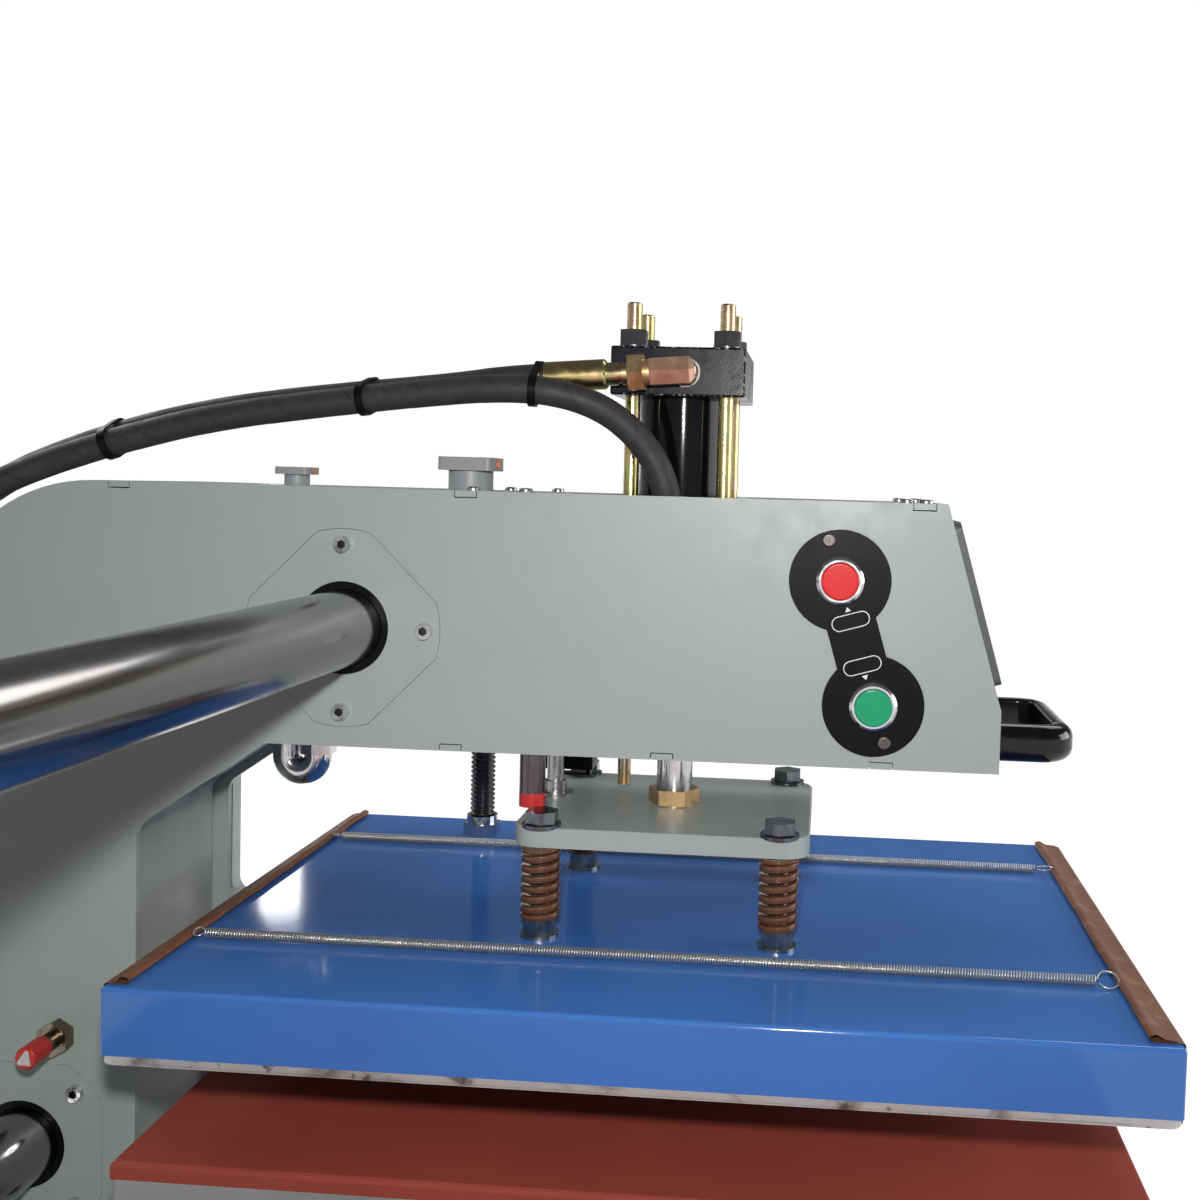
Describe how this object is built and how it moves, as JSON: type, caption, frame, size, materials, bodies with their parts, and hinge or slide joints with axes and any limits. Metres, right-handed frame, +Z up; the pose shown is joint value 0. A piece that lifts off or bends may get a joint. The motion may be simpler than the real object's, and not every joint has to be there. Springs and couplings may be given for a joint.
{
  "type": "dual station heat press",
  "caption": "Free-standing hydraulic heat press whose pressing head, with a spring-hung heated platen, slides on guide shafts between left and right padded tables.",
  "frame": {"origin": "on the floor under the middle of the base cabinet", "axes": "+Z up, -Y towards the operator, +X along the guide shafts to the right-hand station, where the head rests"},
  "size_m": [1.06, 0.89, 1.326],
  "materials": {
    "grey_paint": "fine textured powder coat, satin",
    "dark_paint": "satin",
    "black_paint": "gloss",
    "blue_paint": "gloss",
    "spring_brown": "satin",
    "red_cap": "satin",
    "shaft_chrome": "polished",
    "chrome": "polished",
    "steel": "ground",
    "zinc": "zinc plated, satin",
    "yellow_zinc": "yellow passivated",
    "brass": "satin",
    "aluminium": "machined",
    "hose_rubber": "wrapped hose, matt",
    "black_plastic": "matt",
    "handle_plastic": "gloss",
    "grey_plastic": "matt",
    "silicone": "matt",
    "insulation": "fibre board",
    "ptfe_cloth": "coated glass cloth, satin",
    "red_button": "gloss",
    "green_button": "gloss",
    "cabinet_paint": "satin"
  },
  "bodies": {
    "base": {"base_frame": "cabinet_paint", "levelling_feet": "black_plastic", "cabinet_panels": "cabinet_paint", "oil_tank": "dark_paint", "pump_motor": "dark_paint", "electrical_box": "grey_paint", "table_stands": "grey_paint", "table_plates": "aluminium", "silicone_pads": "silicone", "end_frames": "grey_paint", "shaft_clamps": "steel", "guide_shafts": "shaft_chrome"},
    "carriage": {"side_plate_left": "grey_paint", "side_plate_right": "grey_paint", "upper_cover": "grey_paint", "lower_cover": "grey_paint", "front_cover": "grey_paint", "terminal_plugs": "grey_plastic", "bearing_housings": "steel", "linear_bushes": "steel", "bearing_flanges": "grey_paint", "shaft_wipers": "black_plastic", "head_screws": "zinc", "shock_absorbers": "zinc", "cylinder_mount": "steel", "cylinder_base": "black_paint", "cylinder_barrel": "black_paint", "cylinder_cap": "black_paint", "tie_rods": "yellow_zinc", "hose_fittings": "brass", "hose_upper": "hose_rubber", "hose_lower": "hose_rubber", "hose_ties": "black_plastic", "hose_manifold": "aluminium", "conduit_elbow": "chrome", "conduit_box": "dark_paint", "stop_post": "steel", "position_sensors": "brass", "button_plate": "black_plastic", "button_bezels": "chrome", "control_panel": "dark_paint", "pull_handle": "handle_plastic"},
    "bumper_left": {"bumper_cap_left": "red_cap"},
    "bumper_right": {"bumper_cap_right": "red_cap"},
    "start_button": {"green_button": "green_button"},
    "stop_button": {"red_button": "red_button"},
    "ram": {"piston_rod": "chrome", "rod_nut": "brass", "connecting_plate": "grey_paint", "guide_rod": "steel"},
    "platen": {"platen_cover": "blue_paint", "insulation_board": "insulation", "heating_plate": "aluminium", "heating_element": "steel", "release_sheet": "ptfe_cloth", "tension_springs": "steel", "die_springs": "spring_brown", "spring_bolts": "zinc", "heater_conduit": "black_plastic", "conduit_gland": "chrome"}
  },
  "joints": [
    {"name": "head_shuttle", "type": "slide", "parent": "base", "child": "carriage", "axis": [1, 0, 0], "range_m": [-0.52, 0]},
    {"name": "ram_press", "type": "slide", "parent": "carriage", "child": "ram", "axis": [0, 0, 1], "range_m": [-0.055, 0]},
    {"name": "platen_float", "type": "slide", "parent": "ram", "child": "platen", "axis": [0, 0, 1], "range_m": [0, 0.006], "stiffness_N_per_m": 200000, "springref_m": -0.002, "deforming": ["die_springs"]},
    {"name": "stop_button_press", "type": "slide", "parent": "carriage", "child": "stop_button", "axis": [1, 0, 0], "range_m": [0, 0.003], "stiffness_N_per_m": 300, "springref_m": -0.003},
    {"name": "start_button_press", "type": "slide", "parent": "carriage", "child": "start_button", "axis": [1, 0, 0], "range_m": [0, 0.003], "stiffness_N_per_m": 300, "springref_m": -0.003},
    {"name": "bumper_left_press", "type": "slide", "parent": "carriage", "child": "bumper_left", "axis": [1, 0, 0], "range_m": [0, 0.0075], "stiffness_N_per_m": 2000, "springref_m": -0.002},
    {"name": "bumper_right_press", "type": "slide", "parent": "carriage", "child": "bumper_right", "axis": [-1, 0, 0], "range_m": [0, 0.0075], "stiffness_N_per_m": 2000, "springref_m": -0.002}
  ]
}
